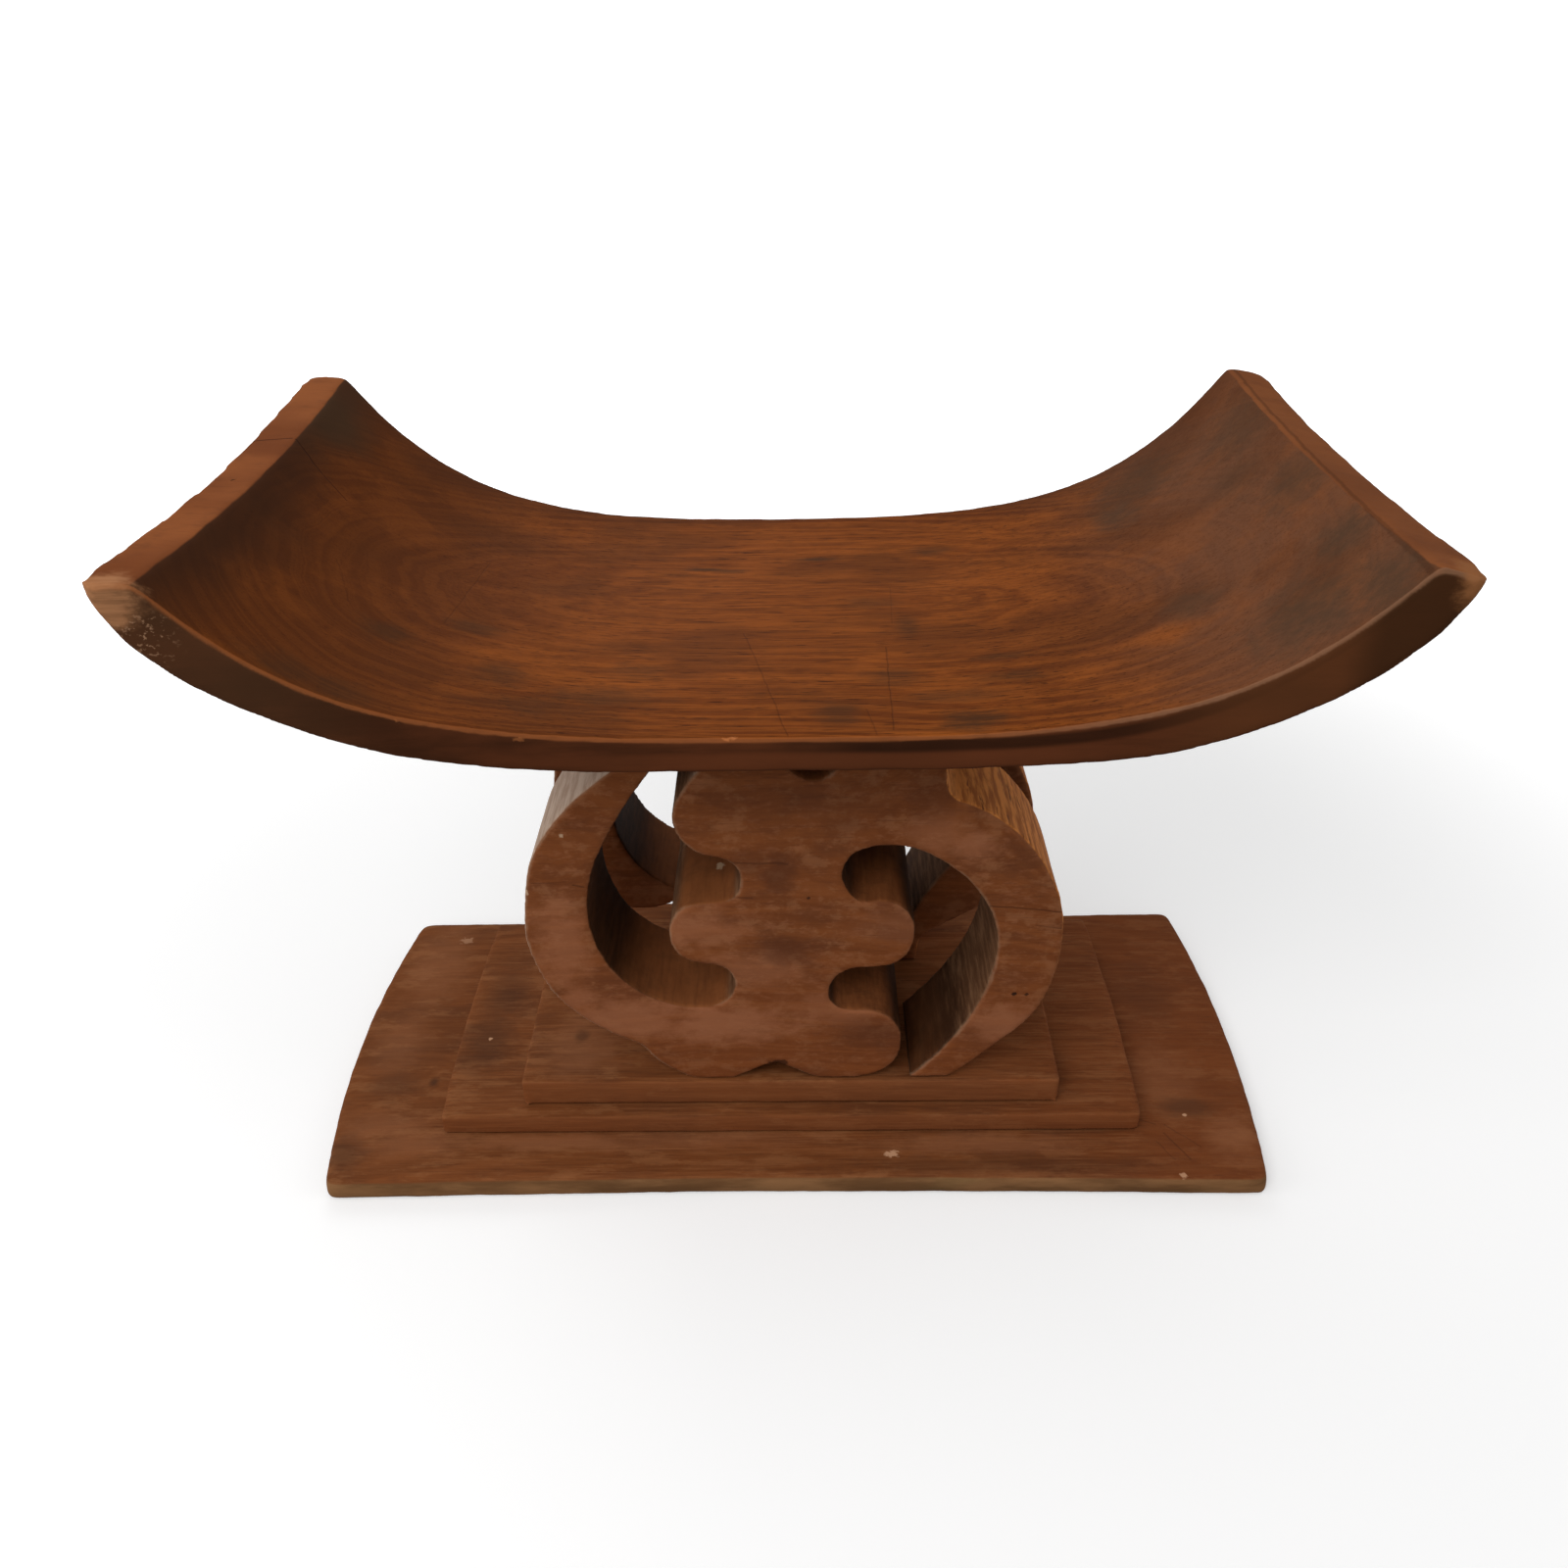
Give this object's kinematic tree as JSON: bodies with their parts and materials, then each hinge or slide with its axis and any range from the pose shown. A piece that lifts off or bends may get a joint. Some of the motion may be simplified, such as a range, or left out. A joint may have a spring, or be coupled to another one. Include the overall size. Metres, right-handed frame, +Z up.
{
  "type": "carved wooden stool",
  "caption": "Crescent-seated ceremonial wooden stool on a pierced two-panel carved support and a stepped rectangular base.",
  "frame": {"origin": "on the floor under the middle of the seat", "axes": "+X along the seat to the viewer's right, +Y away from the pictured front, +Z up"},
  "size_m": [0.6049, 0.3212, 0.4037],
  "materials": {
    "seat_wood": "worn semi-gloss",
    "support_wood": "satin, dusty",
    "base_wood": "satin, worn",
    "peg_wood": "bare"
  },
  "bodies": {
    "root": {"seat": "seat_wood", "seat_block": "support_wood", "front_panel": "support_wood", "back_panel": "support_wood", "centre_core": "support_wood", "top_step": "base_wood", "middle_step": "base_wood", "base_slab": "base_wood", "seat_pegs": "peg_wood", "core_pegs": "peg_wood", "foot_pegs": "peg_wood", "step_pegs": "peg_wood"}
  },
  "joints": []
}
